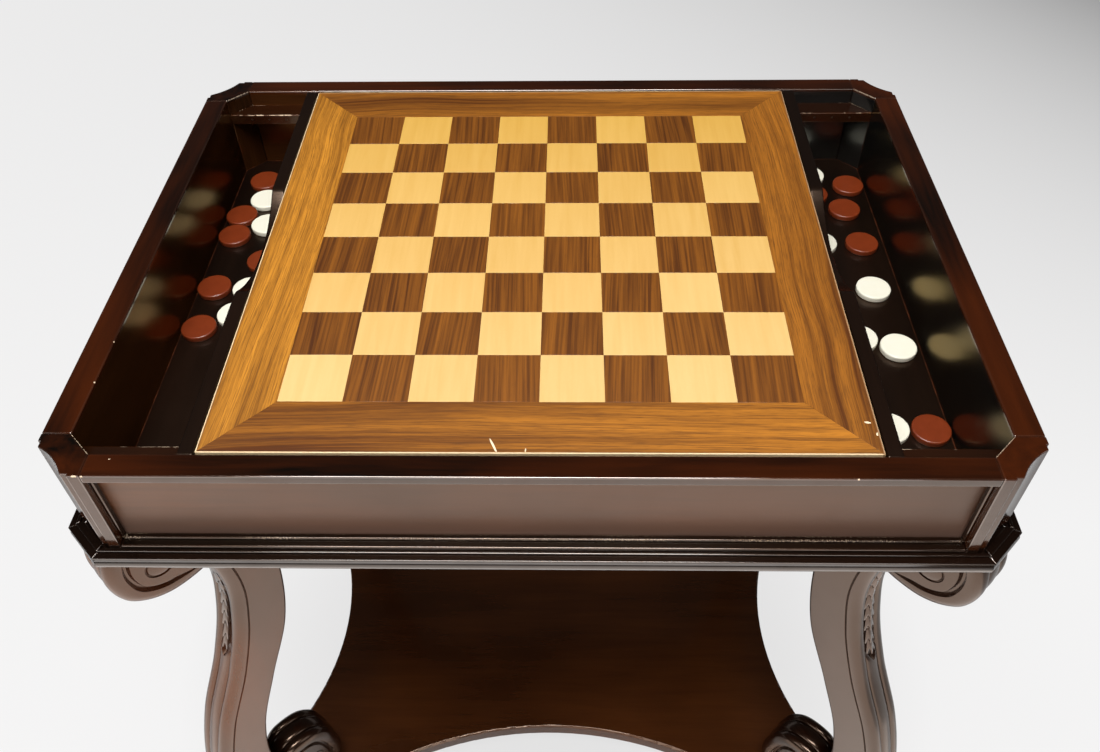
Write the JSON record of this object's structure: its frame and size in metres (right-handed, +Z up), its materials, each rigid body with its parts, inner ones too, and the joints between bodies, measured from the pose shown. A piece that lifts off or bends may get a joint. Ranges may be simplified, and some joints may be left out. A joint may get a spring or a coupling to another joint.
{
  "type": "games table",
  "caption": "Wooden games table: a lift-out chequered board between side wells that hold draughtsmen, on scroll legs above a platform with hollowed sides.",
  "frame": {"origin": "on the floor under the centre of the table", "axes": "+X to the right along the table's long side, +Y to the back, +Z up"},
  "size_m": [0.8028, 0.6068, 0.762],
  "materials": {
    "mahogany": "very dark polished mahogany",
    "plain_wood": "unpolished inner wood",
    "border_walnut": "satin walnut veneer",
    "light_maple": "satin maple veneer",
    "dark_walnut": "satin dark walnut veneer",
    "board_edge": "thin pale edging strip",
    "cream_men": "cream lacquer",
    "brown_men": "red-brown lacquer",
    "brad_iron": "darkened iron",
    "screw_steel": "plain steel"
  },
  "bodies": {
    "table": {"back_apron": "mahogany", "back_base_moulding": "mahogany", "back_ledger": "mahogany", "back_left_base_moulding": "mahogany", "back_left_carving": "mahogany", "back_left_foot": "mahogany", "back_left_leg": "mahogany", "back_left_post": "mahogany", "back_panel": "mahogany", "back_panel_bead": "mahogany", "back_right_base_moulding": "mahogany", "back_right_carving": "mahogany", "back_right_foot": "mahogany", "back_right_leg": "mahogany", "back_right_post": "mahogany", "base_board": "mahogany", "case_floor": "mahogany", "front_apron": "mahogany", "front_base_moulding": "mahogany", "front_ledger": "mahogany", "front_left_base_moulding": "mahogany", "front_left_carving": "mahogany", "front_left_foot": "mahogany", "front_left_leg": "mahogany", "front_left_post": "mahogany", "front_panel": "mahogany", "front_panel_bead": "mahogany", "front_right_base_moulding": "mahogany", "front_right_carving": "mahogany", "front_right_foot": "mahogany", "front_right_leg": "mahogany", "front_right_post": "mahogany", "ledger_brads": "brad_iron", "left_apron": "mahogany", "left_base_moulding": "mahogany", "left_divider": "mahogany", "left_panel": "mahogany", "left_panel_bead": "mahogany", "leg_dowels": "plain_wood", "platform": "mahogany", "platform_screws": "screw_steel", "right_apron": "mahogany", "right_base_moulding": "mahogany", "right_divider": "mahogany", "right_panel": "mahogany", "right_panel_bead": "mahogany"},
    "board": {"board_core": "plain_wood", "front_border": "border_walnut", "back_border": "border_walnut", "left_border": "border_walnut", "right_border": "border_walnut", "light_squares": "light_maple", "dark_squares": "dark_walnut", "board_lipping": "board_edge"},
    "left_light_men_set": {"left_light_men": "cream_men"},
    "left_dark_men_set": {"left_dark_men": "brown_men"},
    "right_light_men_set": {"right_light_men": "cream_men"},
    "right_dark_men_set": {"right_dark_men": "brown_men"}
  },
  "joints": [
    {"name": "board_lift", "type": "slide", "parent": "table", "child": "board", "axis": [0, 0, 1], "range_m": [0, 0.12]},
    {"name": "left_light_men_lift", "type": "slide", "parent": "table", "child": "left_light_men_set", "axis": [0, 0, 1], "range_m": [0, 0.15]},
    {"name": "left_dark_men_lift", "type": "slide", "parent": "table", "child": "left_dark_men_set", "axis": [0, 0, 1], "range_m": [0, 0.15]},
    {"name": "right_light_men_lift", "type": "slide", "parent": "table", "child": "right_light_men_set", "axis": [0, 0, 1], "range_m": [0, 0.15]},
    {"name": "right_dark_men_lift", "type": "slide", "parent": "table", "child": "right_dark_men_set", "axis": [0, 0, 1], "range_m": [0, 0.15]}
  ]
}
